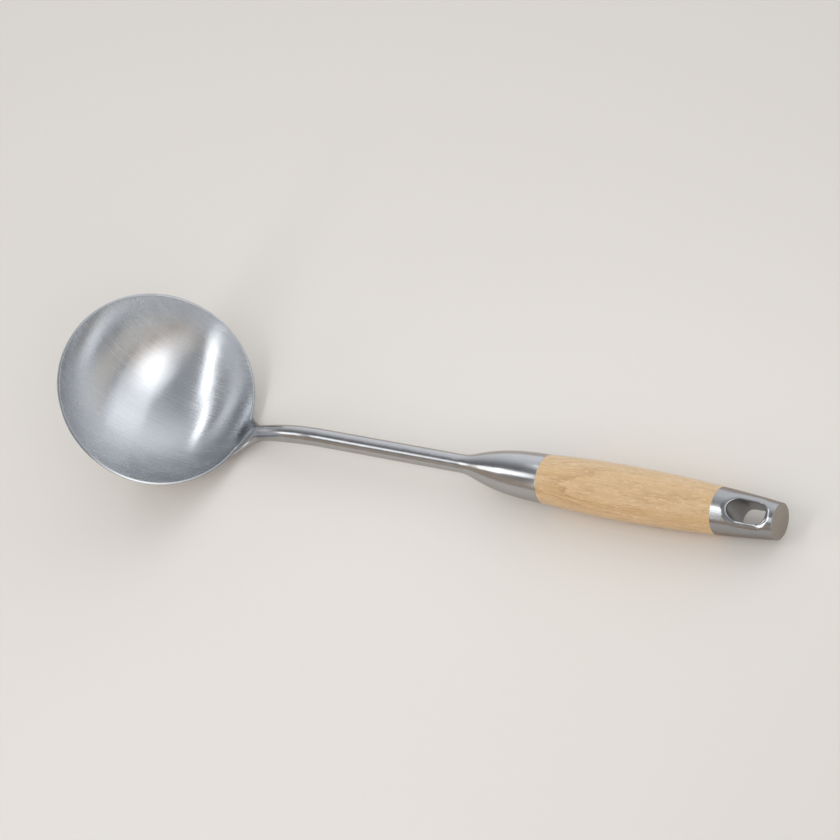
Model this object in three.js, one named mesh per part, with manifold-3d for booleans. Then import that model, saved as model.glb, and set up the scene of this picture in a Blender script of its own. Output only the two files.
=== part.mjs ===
// Wok ladle: a pressed steel bowl on a bent round stem, a bell-shaped ferrule, a turned wood grip and an
// end cap with a hanging slot. Millimetres, +Z up. The pieces are shaped with the bowl opening upwards, the
// middle of its lip at the origin and the handle rising towards +X. The whole ladle is then laid down the way
// it rests on a table: on the bowl and on the belly of the grip.
import * as THREE from 'three';
import { mergeVertices } from 'three/addons/utils/BufferGeometryUtils.js';
import ManifoldModule from 'manifold-3d';

// Bowl
const bowlDiameter = 110; // outside, across the lip
const bowlDepth = 36; // outside, from the lip to the lowest point
const bowlWall = 1.5;

// Tongue that the lip is drawn up into, lying on the root of the stem
const tongueReach = 12.5; // above the lip, along the wall
const tongueTipWidth = 5;
const tongueBaseWidth = 22;
const tongueBlend = 8; // how far below the lip the wall begins to bend

// Stem
const stemDiameter = 9.8;
const stemRootDiameter = 8.5; // where the stem is drawn thinner, just above its flared root
const stemTaperLength = 42; // from the lip to where the stem has its full diameter
const stemLength = 150; // along its centre line, from the lip to the ferrule
const neckBendRadius = 149;
const handleAngle = THREE.MathUtils.degToRad(42.6); // between the handle and the plane of the lip
const rootSpreadNear = 14.5; // reach of the flared root along the lip, towards -Y
const rootSpreadFar = 10.5; // and towards +Y, where it is ground closer
const rootFlareLength = 16; // from the lip to where the stem is round
const rootToeLength = 9; // how far the root reaches down the outside of the bowl
const rootThickness = 2.6; // outside the bowl, at the lip
const rootToeThickness = 1.2;
const rootFlankHeight = 1; // of the flared flanks, inwards from the line of the wall
const rootBluntAngle = THREE.MathUtils.degToRad(25); // where the rounded toe is cut off
const tailShoulder = 1; // step down from the stem to its tail inside the ferrule
const tailWall = 1.1; // round the tapped hole
const tailLength = 20;
const tailTapDepth = 14;
const bowlBeadRadius = 1.1;

// Ferrule
const ferruleLength = 52;
const ferruleWall = 1.2;
const ferruleMouthDiameter = 25.3;
const ferruleNeckSweep = 9; // length of the hollow curve that leaves the stem
const ferruleShoulderSweep = 36; // length of the round shoulder that reaches the mouth
const ferruleWeldLength = 4;

// Grip
const gripLength = 99.4;
const gripBellyDiameter = 28.2;
const gripBellyPlace = 43; // from the ferrule to the fattest place
const gripTenonLength = 12; // inside the ferrule

// End cap
const capLength = 32.6;
const capSeamDiameter = 24;
const capEndDiameter = 18.5;
const capCrown = 0.2; // how far the taper bulges from a straight cone
const capBossDiameter = 14;
const capBossLength = 8;
const capFloor = 3; // metal between the tapped hole and the slot
const slotLength = 20.3;
const slotWidth = 11;
const slotEndWall = 4.4; // metal between the slot and the flat end
const slotTurn = THREE.MathUtils.degToRad(13); // how far the cap is turned on its thread

// Clearances
const seatGap = 0.3; // between pieces that touch, screw together or are welded
const cutOverrun = 2; // how far a cutting solid runs past what it cuts

// Facets
const bowlSegments = 72;
const bowlRows = 11;
const bowlCrowding = 0.7; // draws the bowl's facets together beside the tongue
const stemSegments = 24;
const handleSegments = 32;
const profileSteps = 14;
const rodSegments = 16;

// Sizes worked out from the driving ones
const bowlRadius = bowlDiameter / 2;
const sphereRadius = (bowlRadius ** 2 + bowlDepth ** 2) / (2 * bowlDepth);
const sphereHeight = sphereRadius - bowlDepth;
const lipAngle = Math.atan2(bowlRadius, sphereHeight); // steepness of the wall at the lip
const stemRadius = stemDiameter / 2;
const stemRootRadius = stemRootDiameter / 2;
const tailRadius = stemRadius - tailShoulder;
const tangRadius = tailRadius - tailWall - seatGap;
const neckArcLength = neckBendRadius * (lipAngle - handleAngle);
const neckFall = tongueReach ** 2 / (2 * neckBendRadius); // how far the stem bends away under the tongue
const tongueLean = stemRootRadius - bowlWall - neckFall; // brings the tongue's tip level with the stem
const gripStart = ferruleLength + seatGap;
const capStart = gripStart + gripLength + seatGap;
const slotStart = capStart + capLength - slotEndWall - slotLength;

const steel = new THREE.MeshStandardMaterial({ color: 0xb9bcc2, roughness: 0.32, metalness: 1 });
const weldSteel = new THREE.MeshStandardMaterial({ color: 0xa3a5a9, roughness: 0.4, metalness: 1 });
const capSteel = new THREE.MeshStandardMaterial({ color: 0xa9a9ab, roughness: 0.36, metalness: 1 });
const rodSteel = new THREE.MeshStandardMaterial({ color: 0x8f9295, roughness: 0.5, metalness: 1 });
const paleWood = new THREE.MeshStandardMaterial({ color: 0xd9b483, roughness: 0.48, metalness: 0 });

const wasm = await ManifoldModule();
wasm.setup();

/** A closed solid of a three.js geometry, for cutting. */
function solidOf(geometry) {
  const bare = geometry.clone();
  bare.deleteAttribute('normal');
  bare.deleteAttribute('uv');
  const merged = mergeVertices(bare, 1e-4);
  const triangles = [];
  for (let i = 0; i < merged.index.count; i += 3) {
    const corners = [merged.index.getX(i), merged.index.getX(i + 1), merged.index.getX(i + 2)];
    if (new Set(corners).size === 3) triangles.push(...corners);
  }
  const mesh = new wasm.Mesh({
    numProp: 3,
    vertProperties: new Float32Array(merged.attributes.position.array),
    triVerts: new Uint32Array(triangles),
  });
  return new wasm.Manifold(mesh);
}

/** The three.js geometry of a solid. */
function geometryOf(solid) {
  const { vertProperties, triVerts } = solid.getMesh();
  const geometry = new THREE.BufferGeometry();
  geometry.setAttribute('position', new THREE.BufferAttribute(vertProperties, 3));
  geometry.setIndex(new THREE.BufferAttribute(triVerts, 1));
  geometry.computeVertexNormals();
  return geometry;
}

/** The first geometry less all the others. */
function cut(geometry, ...tools) {
  let solid = solidOf(geometry);
  for (const tool of tools) solid = solid.subtract(solidOf(tool));
  return geometryOf(solid);
}

function named(name, geometry, material) {
  const mesh = new THREE.Mesh(geometry, material);
  mesh.name = name;
  return mesh;
}

/** Moves every point of a geometry by a function of where it was. */
function reshape(geometry, placeOf) {
  const points = geometry.attributes.position;
  const point = new THREE.Vector3();
  for (let i = 0; i < points.count; i += 1) {
    placeOf(point.fromBufferAttribute(points, i));
    points.setXYZ(i, point.x, point.y, point.z);
  }
  geometry.computeVertexNormals();
  return geometry;
}

/** A solid of revolution about +X, from [along, radius] points that start and end on the axis or close. */
function turned(profile, segments = handleSegments) {
  const points = profile.map(([along, radius]) => new THREE.Vector2(radius, along));
  return new THREE.LatheGeometry(points, segments).rotateZ(-Math.PI / 2);
}

/** A plain rod along +X between two places. */
function rod(radius, from, to, segments = rodSegments) {
  return turned([[from, 0], [from, radius], [to, radius], [to, 0]], segments);
}

/** Evenly spaced places from one end of a stretch to the other. */
function places(from, to, steps) {
  return Array.from({ length: steps + 1 }, (unused, step) => THREE.MathUtils.lerp(from, to, step / steps));
}

// Bowl

/** Share of the tongue's full reach at a distance to the side of the handle, 1 at the tip and 0 beyond it. */
function tongueShare(sideways, grow) {
  const fall = (tongueBaseWidth - tongueTipWidth) / 2;
  const left = tongueBaseWidth / 2 + grow - Math.abs(sideways);
  return THREE.MathUtils.clamp(left / fall, 0, 1) ** 2;
}

/** Draws the lip up into the tongue, and the facets together beside it. */
function drawTongue(point, grow) {
  const outward = Math.hypot(point.x, point.y);
  if (outward < 1e-6) return;
  const plainAzimuth = Math.atan2(point.y, point.x);
  const azimuth = plainAzimuth - bowlCrowding * Math.sin(plainAzimuth);
  const inset = sphereRadius - Math.hypot(outward, point.z - sphereHeight);
  const along = sphereRadius * (Math.atan2(outward, sphereHeight - point.z) - lipAngle);

  const share = tongueShare(azimuth * bowlRadius, grow);
  const stretch = THREE.MathUtils.smoothstep(along, -tongueBlend, 0);
  const drawn = along + (tongueReach + grow) * share * stretch;
  const bend = Math.max(0, drawn + tongueBlend) / (tongueReach + tongueBlend);
  const depth = inset + tongueLean * share * bend ** 2;

  const steepness = lipAngle + Math.min(0, drawn) / sphereRadius;
  const straight = Math.max(0, drawn);
  const radius = (sphereRadius - depth) * Math.sin(steepness) + straight * Math.cos(steepness);
  point.x = radius * Math.cos(azimuth);
  point.y = radius * Math.sin(azimuth);
  point.z = sphereHeight - (sphereRadius - depth) * Math.cos(steepness) + straight * Math.sin(steepness);
}

/** A shell of the bowl's form between two spheres, each ending at its own angle from the lowest point. */
function bowlShell(outer, outerEnd, inner, innerEnd, grow) {
  const arc = (radius, end, step) => {
    const angle = end * (1 - (1 - step / bowlRows) ** 1.6); // rows close up towards the lip
    return new THREE.Vector2(radius * Math.sin(angle), sphereHeight - radius * Math.cos(angle));
  };
  const profile = [];
  for (let step = 0; step <= bowlRows; step += 1) profile.push(arc(outer, outerEnd, step));
  for (let step = bowlRows; step >= 0; step -= 1) profile.push(arc(inner, innerEnd, step));
  profile[0].x = 0;
  profile.at(-1).x = 0;
  const shell = new THREE.LatheGeometry(profile, bowlSegments).rotateX(Math.PI / 2);
  return reshape(shell, (point) => drawTongue(point, grow));
}

function makeBowl() {
  const inner = sphereRadius - bowlWall;
  return named('bowl', bowlShell(sphereRadius, lipAngle, inner, Math.acos(sphereHeight / inner), 0), steel);
}

/** Room for the bowl in a piece that sits outside it, clear of the wall and of everything within. */
function bowlRoom() {
  const outer = sphereRadius + seatGap;
  const end = lipAngle + seatGap / sphereRadius;
  return bowlShell(outer, end, outer - bowlWall - stemDiameter, end, seatGap);
}

// Stem

/** The stem's centre line: down the outside of the bowl below the lip, then the gooseneck, then straight. */
function centreLine(along) {
  if (along < 0) {
    const angle = lipAngle + along / sphereRadius;
    return { x: sphereRadius * Math.sin(angle), z: sphereHeight - sphereRadius * Math.cos(angle), angle };
  }
  const angle = lipAngle - Math.min(along, neckArcLength) / neckBendRadius;
  const straight = Math.max(0, along - neckArcLength);
  return {
    x: bowlRadius + neckBendRadius * (Math.sin(lipAngle) - Math.sin(angle)) + straight * Math.cos(angle),
    z: neckBendRadius * (Math.cos(angle) - Math.cos(lipAngle)) + straight * Math.sin(angle),
    angle,
  };
}

/** Radius of the round bar, drawn thinner towards its root. */
function barRadius(along) {
  const share = THREE.MathUtils.smoothstep(along, tongueReach, stemTaperLength);
  return THREE.MathUtils.lerp(stemRootRadius, stemRadius, share);
}

/** Reach to one side, and the heights to the outside and the inside, at a place along the stem. */
function stemSection(along, towardsFarSide) {
  const spread = towardsFarSide ? rootSpreadFar : rootSpreadNear;
  if (along < 0) {
    const share = Math.min(1, -along / rootToeLength);
    return {
      reach: spread * Math.sqrt(1 - share ** 2),
      outside: THREE.MathUtils.lerp(rootThickness, rootToeThickness, share),
      inside: rootFlankHeight,
    };
  }
  const flare = Math.max(0, 1 - along / rootFlareLength) ** 2;
  const rise = THREE.MathUtils.smoothstep(along, 0, tongueReach);
  return {
    reach: THREE.MathUtils.lerp(barRadius(along), spread, flare),
    outside: THREE.MathUtils.lerp(barRadius(along), rootThickness, flare),
    inside: THREE.MathUtils.lerp(rootFlankHeight, barRadius(along), rise),
  };
}

/** Places along the stem where it has a ring of points, from the toe to the ferrule. */
function stemStations() {
  const toeSteps = 5;
  const flareSteps = 9;
  const arcSteps = 11;
  const toe = places(rootBluntAngle, Math.PI / 2, toeSteps).map((angle) => -rootToeLength * Math.cos(angle));
  const flare = places(0, rootFlareLength, flareSteps);
  const arc = places(0, Math.max(neckArcLength, stemTaperLength), arcSteps);
  const closest = rootFlareLength / flareSteps / 2;
  const sorted = [...toe, ...flare, ...arc, stemLength].sort((a, b) => a - b);
  return sorted.filter((along, i) => i === 0 || along - sorted[i - 1] > closest);
}

/** The bar with its flared root, grown all round, wrapped to the bowl where it meets the lip. */
function stemBar(grow) {
  const stations = stemStations();
  const bar = new THREE.CylinderGeometry(1, 1, 1, stemSegments, stations.length - 1);
  return reshape(bar, (point) => {
    const along = stations[Math.round((point.y + 0.5) * (stations.length - 1))];
    const section = stemSection(along, point.z > 0);
    const lift = point.x * ((point.x > 0 ? section.inside : section.outside) + grow);
    const sideways = point.z * (section.reach + grow);
    const wrap = 1 - THREE.MathUtils.smoothstep(along, 0, rootFlareLength);
    const back = wrap * (bowlRadius - Math.sqrt(bowlRadius ** 2 - sideways ** 2));
    const { x, z, angle } = centreLine(along);
    point.set(x - lift * Math.sin(angle) - back, sideways, z + lift * Math.cos(angle));
  });
}

/** Puts a piece that was turned about +X, with 0 at the end of the stem, on the handle's axis. */
function onHandle(geometry) {
  const { x, z } = centreLine(stemLength);
  return geometry.rotateY(-handleAngle).translate(x, 0, z);
}

function makeStem() {
  const tail = onHandle(rod(tailRadius, -cutOverrun, tailLength, stemSegments));
  const tappedHole = onHandle(rod(tangRadius + seatGap, tailLength - tailTapDepth, tailLength + cutOverrun));
  const joined = geometryOf(solidOf(stemBar(0)).add(solidOf(tail)));
  return named('stem', cut(joined, bowlRoom(), tappedHole), steel);
}

/** Weld bead round the toe of the root, on the outside of the bowl. */
function makeBowlWeld() {
  const beadSteps = 20;
  const beadSides = 8;
  const beadEnd = THREE.MathUtils.degToRad(72); // from the toe, round to each side
  const points = [];
  for (let step = 0; step <= beadSteps; step += 1) {
    const turn = THREE.MathUtils.lerp(-beadEnd, beadEnd, step / beadSteps);
    const angle = lipAngle - ((rootToeLength + seatGap) * Math.cos(turn)) / sphereRadius;
    const sideways = ((turn > 0 ? rootSpreadFar : rootSpreadNear) + seatGap) * Math.sin(turn);
    const outward = (sphereRadius + bowlBeadRadius / 2) * Math.sin(angle);
    const height = sphereHeight - (sphereRadius + bowlBeadRadius / 2) * Math.cos(angle);
    const azimuth = Math.asin(sideways / outward);
    points.push(new THREE.Vector3(outward * Math.cos(azimuth), sideways, height));
  }
  const round = new THREE.Shape().absarc(0, 0, bowlBeadRadius, 0, 2 * Math.PI);
  const bead = new THREE.ExtrudeGeometry(round, {
    steps: beadSteps,
    curveSegments: beadSides,
    bevelEnabled: false,
    extrudePath: new THREE.CatmullRomCurve3(points),
  });
  return named('bowl_weld', cut(bead, bowlRoom(), stemBar(seatGap)), weldSteel);
}

// Handle, turned about its own axis with 0 at the end of the stem

const ferruleCurve = new THREE.CubicBezierCurve(
  new THREE.Vector2(0, stemRadius),
  new THREE.Vector2(ferruleNeckSweep, stemRadius),
  new THREE.Vector2(ferruleLength - ferruleShoulderSweep, ferruleMouthDiameter / 2),
  new THREE.Vector2(ferruleLength, ferruleMouthDiameter / 2),
);

/** Outer radius of the ferrule, and of the weld before it, at a place along the handle. */
function ferruleRadius(along) {
  let low = 0;
  let high = 1;
  for (let halving = 0; halving < 30; halving += 1) {
    const middle = (low + high) / 2;
    if (ferruleCurve.getPoint(middle).x < along) low = middle;
    else high = middle;
  }
  return ferruleCurve.getPoint(low).y;
}

/** Inner radius of the ferrule: its wall within the outer one, but never tighter than the stem's tail. */
function ferruleBore(along) {
  return Math.max(tailRadius + seatGap, ferruleRadius(along) - ferruleWall);
}

/** Closes a turned profile on itself. */
function ring(profile) {
  return [...profile, profile[0]];
}

function makeFerruleWeld() {
  const bore = tailRadius + seatGap;
  const outer = places(seatGap, ferruleWeldLength, 3).map((along) => [along, ferruleRadius(along)]);
  const profile = ring([[seatGap, bore], ...outer, [ferruleWeldLength, bore]]);
  return named('ferrule_weld', onHandle(turned(profile)), weldSteel);
}

function makeFerrule() {
  const stretch = places(ferruleWeldLength + seatGap, ferruleLength, profileSteps);
  const outer = stretch.map((along) => [along, ferruleRadius(along)]);
  const inner = stretch.map((along) => [along, ferruleBore(along)]).reverse();
  return named('ferrule', onHandle(turned(ring([...outer, ...inner]))), steel);
}

function makeTangRod() {
  const from = tailLength - tailTapDepth + seatGap;
  const to = slotStart - capFloor - seatGap;
  return named('tang_rod', onHandle(rod(tangRadius, from, to)), rodSteel);
}

/** Outer radius of the grip at a distance from the ferrule: two smooth arcs that meet at the belly. */
function gripRadius(distance) {
  const belly = gripBellyDiameter / 2;
  const beforeBelly = distance < gripBellyPlace;
  const end = (beforeBelly ? ferruleMouthDiameter : capSeamDiameter) / 2;
  const run = beforeBelly ? gripBellyPlace : gripLength - gripBellyPlace;
  return belly - (belly - end) * ((distance - gripBellyPlace) / run) ** 2;
}

function makeGrip() {
  const bore = tangRadius + seatGap;
  const tenonStart = ferruleLength - gripTenonLength;
  const tenon = ferruleBore(tenonStart) - seatGap;
  const gripEnd = gripStart + gripLength;
  const bossSeat = capBossDiameter / 2 + seatGap;
  const bossFloor = gripEnd - capBossLength;
  const stretch = places(0, gripLength, profileSteps);
  const outer = stretch.map((distance) => [gripStart + distance, gripRadius(distance)]);
  const profile = ring([
    [tenonStart, bore],
    [tenonStart, tenon],
    [gripStart, tenon],
    ...outer,
    [gripEnd, bossSeat],
    [bossFloor, bossSeat],
    [bossFloor, bore],
  ]);
  return named('grip', onHandle(turned(profile)), paleWood);
}

function makeEndCap() {
  const crownPlace = new THREE.Vector2(capLength / 2, (capSeamDiameter + capEndDiameter) / 4 + 2 * capCrown);
  const taper = new THREE.QuadraticBezierCurve(
    new THREE.Vector2(0, capSeamDiameter / 2),
    crownPlace,
    new THREE.Vector2(capLength, capEndDiameter / 2),
  );
  const boss = capBossDiameter / 2;
  const tap = tangRadius + seatGap;
  const tapFloor = slotStart - capFloor;
  const outer = taper.getPoints(profileSteps / 2).map((point) => [capStart + point.x, point.y]);
  const body = turned([
    [tapFloor, 0],
    [tapFloor, tap],
    [capStart - capBossLength + seatGap, tap],
    [capStart - capBossLength + seatGap, boss],
    [capStart, boss],
    ...outer,
    [capStart + capLength, 0],
  ]);

  const halfWidth = slotWidth / 2;
  const near = slotStart + halfWidth;
  const far = slotStart + slotLength - halfWidth;
  const outline = new THREE.Shape();
  outline.absarc(far, 0, halfWidth, -Math.PI / 2, Math.PI / 2);
  outline.absarc(near, 0, halfWidth, Math.PI / 2, (3 * Math.PI) / 2);
  outline.closePath();
  const depth = capSeamDiameter + 2 * cutOverrun;
  const slot = new THREE.ExtrudeGeometry(outline, { depth, curveSegments: 10, bevelEnabled: false });
  slot.translate(0, 0, -depth / 2).rotateX(slotTurn);
  return named('end_cap', onHandle(cut(body, slot)), capSteel);
}

/** Angle between the handle and the table when the ladle lies on its bowl and the belly of its grip. */
function restingAngle() {
  let angle = Infinity;
  for (const distance of places(0, gripLength, 8 * profileSteps)) {
    const { x, z } = centreLine(stemLength + gripStart + distance);
    const slope = Math.atan2(z - sphereHeight, x);
    const reach = Math.hypot(x, z - sphereHeight);
    angle = Math.min(angle, slope + Math.asin((sphereRadius - gripRadius(distance)) / reach));
  }
  return angle;
}

const ladle = new THREE.Group();
ladle.add(makeBowl());
ladle.add(makeStem());
ladle.add(makeBowlWeld());
ladle.add(makeFerruleWeld());
ladle.add(makeFerrule());
ladle.add(makeTangRod());
ladle.add(makeGrip());
ladle.add(makeEndCap());

// Laid down, with the middle of its footprint at the origin
ladle.rotation.y = restingAngle();
const box = new THREE.Box3().setFromObject(ladle, true);
const middle = box.getCenter(new THREE.Vector3());
ladle.position.set(-middle.x, -middle.y, -box.min.z);

const part = new THREE.Group();
part.add(ladle);
export default part;
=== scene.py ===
"""Looks of a wok ladle: brushed steel bowl, polished stem and ferrule, pale wood grip, slotted steel cap.

Sizes are in metres. The pieces are shaped with the bowl opening upwards, the middle of its lip at the
origin and the handle rising towards +X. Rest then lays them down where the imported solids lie.
"""
import logging
import math
from dataclasses import dataclass, replace
from enum import Enum
from functools import cached_property

import bmesh
import bpy
import numpy as np
from mathutils import Matrix, Vector


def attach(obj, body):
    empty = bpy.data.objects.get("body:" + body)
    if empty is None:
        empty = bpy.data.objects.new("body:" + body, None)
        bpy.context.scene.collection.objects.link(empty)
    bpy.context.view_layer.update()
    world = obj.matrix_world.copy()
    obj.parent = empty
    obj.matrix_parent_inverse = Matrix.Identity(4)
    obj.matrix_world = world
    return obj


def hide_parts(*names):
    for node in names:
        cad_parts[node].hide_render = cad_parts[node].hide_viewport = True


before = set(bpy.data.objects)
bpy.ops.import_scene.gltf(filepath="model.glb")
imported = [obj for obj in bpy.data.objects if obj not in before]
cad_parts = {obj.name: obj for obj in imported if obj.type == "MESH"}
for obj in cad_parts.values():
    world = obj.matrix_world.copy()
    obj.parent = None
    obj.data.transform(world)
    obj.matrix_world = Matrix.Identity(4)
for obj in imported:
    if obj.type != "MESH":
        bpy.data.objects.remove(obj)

log = logging.getLogger("ladle")

MM = 0.001
BODY = "root"
BRUSH_LAYER = "brush"
MERGE_DISTANCE = 1e-7
SHARP_ANGLE = math.radians(40)

Colour = tuple[float, float, float]
Paint = tuple[float, float, float, float]
Triple = tuple[float, float, float]
Pair = tuple[float, float]
Array = np.ndarray
Values = Array | float
Socket = bpy.types.NodeSocket
Inputs = dict[str | int, object]


class Slot(Enum):
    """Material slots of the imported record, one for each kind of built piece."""

    BOWL = "bowl_steel"
    STEM = "stem_steel"
    WELD = "weld_steel"
    GRIP = "grip_wood"
    CAP = "cap_steel"


def smoothstep(value: Values, low: float, high: float) -> Array:
    """Share that eases from 0 at the low place to 1 at the high one."""
    share = np.clip((np.asarray(value, float) - low) / (high - low), 0, 1)
    return share * share * (3 - 2 * share)


def mix(first: Values, second: Values, share: Values) -> Values:
    """Value on the way from a first one, at share 0, to a second one, at share 1."""
    return first + (second - first) * share


def full_turn(count: int) -> Array:
    """Angles of a full turn in even steps."""
    return np.linspace(0, 2 * math.pi, count, endpoint=False)


def unit_rows(vectors: Array) -> Array:
    """The vectors, one a row, with their lengths made 1."""
    return vectors / np.linalg.norm(vectors, axis=1, keepdims=True)


def lined_up(across: Array, along: float) -> Array:
    """Places across the brushing lines, all at the same place along them."""
    return np.stack([across, np.full(len(across), along)], axis=-1)


def curve(start: Array, corner: Array, end: Array, steps: int) -> list[Array]:
    """Points of a rounding that leaves the start towards a corner and ends at the end."""
    shares = np.linspace(0, 1, steps + 1)
    return [(1 - share) ** 2 * start + 2 * share * (1 - share) * corner + share**2 * end for share in shares]


def rounded(corners: list[Pair], radii: list[float], steps: int) -> list[Pair]:
    """Rounds the corners of an open outline in the plane.

    Args:
        corners: Corners of the outline, with its two ends.
        radii: Length that the rounding takes from each side of a corner, for each but the ends.
        steps: Steps of each rounding.

    Returns:
        The points of the rounded outline.
    """
    points = [corners[0]]
    for place, radius in enumerate(radii, start=1):
        here = np.array(corners[place])
        sides = [np.array(corners[other]) - here for other in (place - 1, place + 1)]
        start, end = (here + side / np.linalg.norm(side) * radius for side in sides)
        points.extend(tuple(point) for point in curve(start, here, end, steps))
    return points + [corners[-1]]


class Skin:
    """A mesh under construction, made of rings of points that bands of faces join."""

    def __init__(self) -> None:
        """Starts with nothing."""
        self.points: list[Array] = []
        self.brush: list[Array] = []
        self.faces: list[tuple[int, ...]] = []
        self.finishes: list[int] = []

    def ring(self, points: Array, brush: Array | None = None) -> Array:
        """Adds a row of points.

        Args:
            points: The points, one a row.
            brush: Place of each point across and along the brushing lines.

        Returns:
            The points' numbers.
        """
        first = len(self.points)
        self.points.extend(points)
        self.brush.extend(np.zeros((len(points), 2)) if brush is None else brush)
        return np.arange(first, len(self.points))

    def cover(self, corners: list[Array], finish: int) -> None:
        """Adds faces of one finish, by the numbers of their first corners, their second ones and so on."""
        self.faces.extend(zip(*(numbers.tolist() for numbers in corners)))
        self.finishes.extend([finish] * len(corners[0]))

    def bands(self, rings: list[Array], finish: int = 0) -> None:
        """Joins each ring to the next by a band of faces, which take the finish of that number."""
        for first, second in zip(rings, rings[1:]):
            self.cover([first, np.roll(first, -1), np.roll(second, -1), second], finish)

    def tip(self, ring: Array, point: Array, brush: Array | None = None, finish: int = 0) -> None:
        """Closes a ring towards one point, which may have a place in the brushing, by faces of one finish."""
        middle = self.ring(point[None], None if brush is None else brush[None])
        self.cover([ring, np.roll(ring, -1), np.repeat(middle, len(ring))], finish)

    def piece(self, name: str, rest: "Rest | None" = None) -> bpy.types.Object:
        """Makes the mesh and its object.

        Args:
            name: Name of the object.
            rest: How the ladle lies, or nothing for what isn't part of the ladle.

        Returns:
            The object, in the scene.
        """
        points = np.array(self.points)
        laid = points if rest is None else rest.lay(points)
        mesh = bpy.data.meshes.new(name)
        mesh.from_pydata([tuple(point) for point in laid], [], self.faces)
        mesh.polygons.foreach_set("material_index", self.finishes)
        corners = np.zeros(len(mesh.loops), dtype=np.int32)
        mesh.loops.foreach_get("vertex_index", corners)
        layer = mesh.uv_layers.new(name=BRUSH_LAYER)
        layer.data.foreach_set("uv", np.array(self.brush)[corners].astype(np.float32).ravel())
        work = bmesh.new()
        work.from_mesh(mesh)
        bmesh.ops.remove_doubles(work, verts=work.verts, dist=MERGE_DISTANCE)
        bmesh.ops.recalc_face_normals(work, faces=work.faces)
        work.to_mesh(mesh)
        work.free()
        mesh.shade_smooth()
        mesh.set_sharp_from_angle(angle=SHARP_ANGLE)
        made = bpy.data.objects.new(name, mesh)
        bpy.context.scene.collection.objects.link(made)
        return made


class Nodes:
    """Adds shader nodes to one material or world and links them."""

    def __init__(self, owner: bpy.types.Material | bpy.types.World, shader: str = "Principled BSDF") -> None:
        """Starts with the nodes that every new material or world has.

        Args:
            owner: The material or world.
            shader: Name of its main shader.
        """
        owner.use_nodes = True
        self.tree = owner.node_tree
        self.shader = self.tree.nodes[shader]

    def feed(self, node: bpy.types.Node, inputs: Inputs) -> None:
        """Links outputs to inputs of a node, or sets the inputs' values.

        Args:
            node: The node.
            inputs: An output socket or a plain value for each input, by name or number.
        """
        for key, value in inputs.items():
            if isinstance(value, Socket):
                self.tree.links.new(value, node.inputs[key])
            else:
                node.inputs[key].default_value = value

    def add(self, kind: str, inputs: Inputs | None = None, **settings: object) -> bpy.types.Node:
        """Adds one node.

        Args:
            kind: Type name of the node, without its common start.
            inputs: An output socket or a plain value for each input, by name or number.
            settings: Properties of the node.

        Returns:
            The node.
        """
        node = self.tree.nodes.new("ShaderNode" + kind)
        for key, value in settings.items():
            setattr(node, key, value)
        self.feed(node, inputs or {})
        return node

    def maths(self, operation: str, *values: object) -> Socket:
        """Result of a calculation with one or two values."""
        return self.add("Math", dict(enumerate(values)), operation=operation).outputs[0]

    def length(self, vector: Socket) -> Socket:
        """Length of a vector."""
        return self.add("VectorMath", {0: vector}, operation="LENGTH").outputs["Value"]

    def mapped(self, source: Socket, **mapping: Triple) -> Socket:
        """Places moved by the mapping's Location, Rotation or Scale."""
        return self.add("Mapping", {"Vector": source, **mapping}).outputs[0]

    def seen_from(self, source: Socket, origin: Triple) -> Socket:
        """Places measured from another origin."""
        return self.mapped(source, Location=tuple(-part for part in origin))

    def stretched(self, source: Socket, sizes: Triple, turn: float = 0, shift: float = 0) -> Socket:
        """Places in units of given sizes, after a turn about Z and with a shift in units."""
        turned = self.mapped(source, Rotation=(0, 0, turn))
        return self.mapped(turned, Scale=tuple(1 / size for size in sizes), Location=(shift,) * 3)

    def noise(self, source: Socket, sizes: Triple, detail: float, rough: float, turn: float = 0,
              shift: float = 0) -> Socket:
        """Smooth noise, about 0.5 on average, with features of given sizes and some finer layers."""
        inputs = {"Vector": self.stretched(source, sizes, turn, shift), "Scale": 1.0, "Detail": detail}
        return self.add("TexNoise", {**inputs, "Roughness": rough}).outputs["Fac"]

    def between(self, value: Socket, span: Pair, out: Pair = (0.0, 1.0), way: str = "LINEAR") -> Socket:
        """Value that goes from one end of the second range to the other as a value passes the first range."""
        ends = {"From Min": span[0], "From Max": span[1], "To Min": out[0], "To Max": out[1]}
        return self.add("MapRange", {"Value": value, **ends}, interpolation_type=way).outputs["Result"]

    def blend(self, share: Socket | float, first: Socket | Paint, second: Socket | Paint,
              way: str = "MIX") -> Socket:
        """Second colour over the first, by a share of the second."""
        inputs = {0: share, 6: first, 7: second}
        return self.add("Mix", inputs, data_type="RGBA", blend_type=way).outputs[2]

    def bump(self, height: Socket, depth: float, **start: Socket) -> Socket:
        """Normal of a surface that a pattern raises by a depth, over the Normal to start from."""
        return self.add("Bump", {"Height": height, "Strength": 1.0, "Distance": depth, **start}).outputs[0]


def opaque(colour: Colour) -> Paint:
    """The colour with full opacity."""
    return (*colour, 1.0)


def shaded(colour: Colour, factor: float) -> Paint:
    """The colour, lighter or darker by a factor."""
    return opaque(tuple(min(1.0, part * factor) for part in colour))


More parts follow.
